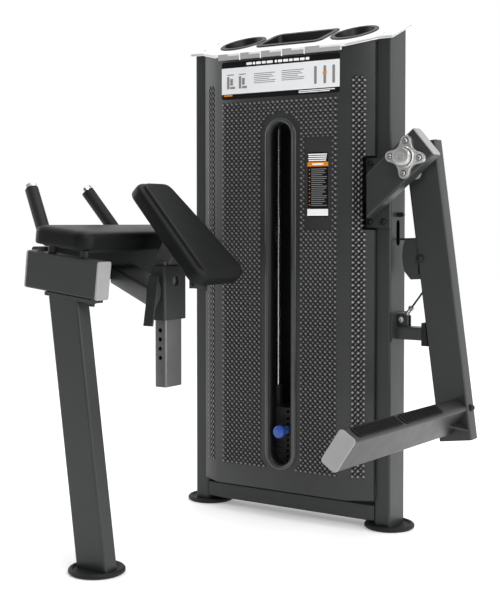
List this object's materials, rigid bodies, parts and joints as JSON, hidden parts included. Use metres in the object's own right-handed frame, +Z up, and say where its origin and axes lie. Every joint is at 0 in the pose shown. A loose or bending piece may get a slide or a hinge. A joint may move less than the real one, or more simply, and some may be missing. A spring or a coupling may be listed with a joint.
{
  "type": "glute kick-back machine",
  "caption": "Standing kick-back weight-stack machine: tower with pin-selected stack, pivoting foot-bar arm, elbow pad, height-adjusted chest pad and handles on a side frame.",
  "frame": {"origin": "on the floor, under the centre of the whole machine", "axes": "+X from the user frame side to the foot-bar arm side, +Y from the user to the back of the tower, +Z up"},
  "size_m": [1.0632, 1.01, 1.5243],
  "materials": {
    "graphite_paint": "dark graphite satin powder coat",
    "cover_paint": "satin grey woven-relief sheet",
    "cap_silver": "silver-white satin moulding",
    "tube_cap_silver": "light silver moulding",
    "black_plastic": "satin black moulding",
    "black_rubber": "matt black rubber",
    "chrome": "polished chrome",
    "satin_steel": "satin zinc plate",
    "cast_silver": "as-cast silver",
    "stack_iron": "black painted iron",
    "pad_vinyl": "black grained upholstery vinyl",
    "knob_blue": "moulded blue knob",
    "cable_coat": "black nylon-coated steel cable"
  },
  "bodies": {
    "frame": {"left_post": "graphite_paint", "right_post": "graphite_paint", "bottom_rail": "graphite_paint", "top_rail": "graphite_paint", "foot_left": "black_rubber", "foot_right": "black_rubber", "foot_front": "black_rubber", "front_cover": "cover_paint", "back_cover": "cover_paint", "top_cap": "cap_silver", "cup_holder_left": "black_plastic", "cup_holder_right": "black_plastic", "top_tray": "black_plastic", "stack_cushion": "black_rubber", "lower_weight_plates": "stack_iron", "guide_rod_left": "chrome", "guide_rod_right": "chrome", "top_pulley_bracket": "graphite_paint", "low_pulley_bracket": "graphite_paint", "pivot_bracket": "graphite_paint", "bearing_front": "cast_silver", "bearing_rear": "cast_silver", "stop_bracket": "graphite_paint", "stop_rubber": "black_rubber", "post_peg": "black_plastic", "main_beam": "graphite_paint", "crossbar": "graphite_paint", "crossbar_cap_right": "tube_cap_silver", "crossbar_cap_left": "tube_cap_silver", "front_leg": "graphite_paint", "brace": "graphite_paint", "height_sleeve": "graphite_paint", "elbow_pad": "pad_vinyl", "handle_near": "chrome", "grip_near": "black_rubber", "handle_far": "chrome", "grip_far": "black_rubber", "cable_stack_run": "cable_coat", "cable_tower_run": "cable_coat"},
    "stack": {"lifted_plate_1": "stack_iron", "lifted_plate_2": "stack_iron", "lifted_plate_3": "stack_iron", "top_plate": "stack_iron", "selector_rod": "chrome"},
    "pin": {"selector_pin": "knob_blue"},
    "top_pulley": {"top_pulley": "black_plastic"},
    "low_pulley": {"low_pulley": "black_plastic"},
    "arm": {"swing_arm": "graphite_paint", "pivot_shaft": "cast_silver", "foot_bar": "graphite_paint", "foot_bar_cap": "tube_cap_silver", "foot_tread_1": "black_rubber", "foot_tread_2": "black_rubber"},
    "arm_pulley": {"arm_pulley": "black_plastic"},
    "cable_upper": {"cable_upper_run": "cable_coat"},
    "cable_lower": {"cable_lower_run": "cable_coat"},
    "cable_end": {"cable_end_fitting": "satin_steel"},
    "pad_support": {"height_tube": "satin_steel", "chest_pad": "pad_vinyl"},
    "lever": {"release_lever": "graphite_paint"}
  },
  "joints": [
    {"name": "arm_swing", "type": "hinge", "parent": "frame", "child": "arm", "pos_m": [0.3641, 0.393, 1.096], "axis": [0, -1, 0], "range_deg": [0, 45]},
    {"name": "stack_lift", "type": "slide", "parent": "frame", "child": "stack", "axis": [0, 0, 1], "range_m": [0, 0.426], "deforming": ["cable_stack_run"]},
    {"name": "pin_pull", "type": "slide", "parent": "stack", "child": "pin", "axis": [0, -1, 0], "range_m": [0, 0.09]},
    {"name": "top_pulley_spin", "type": "hinge", "parent": "frame", "child": "top_pulley", "pos_m": [-0.0064, 0.393, 1.353], "axis": [0, 1, 0], "range_deg": [0, 423]},
    {"name": "low_pulley_spin", "type": "hinge", "parent": "frame", "child": "low_pulley", "pos_m": [0.1086, 0.393, 0.9135], "axis": [0, -1, 0], "range_deg": [0, 423]},
    {"name": "arm_pulley_spin", "type": "hinge", "parent": "arm", "child": "arm_pulley", "pos_m": [0.3701, 0.393, 0.806], "axis": [0, 1, 0], "range_deg": [0, 255]},
    {"name": "upper_cable_swing", "type": "hinge", "parent": "arm", "child": "cable_upper", "pos_m": [0.3701, 0.393, 0.806], "axis": [0, -1, 0], "range_deg": [-36, 0], "deforming": ["cable_upper_run"]},
    {"name": "lower_cable_swing", "type": "hinge", "parent": "arm", "child": "cable_lower", "pos_m": [0.3701, 0.393, 0.806], "axis": [0, -1, 0], "range_deg": [-63, 0], "deforming": ["cable_lower_run"]},
    {"name": "cable_end_swing", "type": "hinge", "parent": "frame", "child": "cable_end", "pos_m": [0.3061, 0.393, 0.626], "axis": [0, -1, 0], "range_deg": [-18, 0]},
    {"name": "chest_height", "type": "slide", "parent": "frame", "child": "pad_support", "axis": [0, 0, 1], "range_m": [0, 0.075]},
    {"name": "lever_squeeze", "type": "hinge", "parent": "frame", "child": "lever", "pos_m": [-0.1209, -0.251, 0.722], "axis": [1, 0, 0], "range_deg": [0, 8], "stiffness_Nm_per_rad": 3}
  ],
  "couplings": [
    {"joint": "stack_lift", "follows": "arm_swing", "m_per_rad": 0.5381},
    {"joint": "top_pulley_spin", "follows": "arm_swing", "ratio": 9.358},
    {"joint": "low_pulley_spin", "follows": "arm_swing", "ratio": 9.358},
    {"joint": "arm_pulley_spin", "follows": "arm_swing", "ratio": 5.634},
    {"joint": "upper_cable_swing", "follows": "arm_swing", "ratio": -0.7688},
    {"joint": "lower_cable_swing", "follows": "arm_swing", "ratio": -1.3651},
    {"joint": "cable_end_swing", "follows": "arm_swing", "ratio": -0.3651}
  ]
}
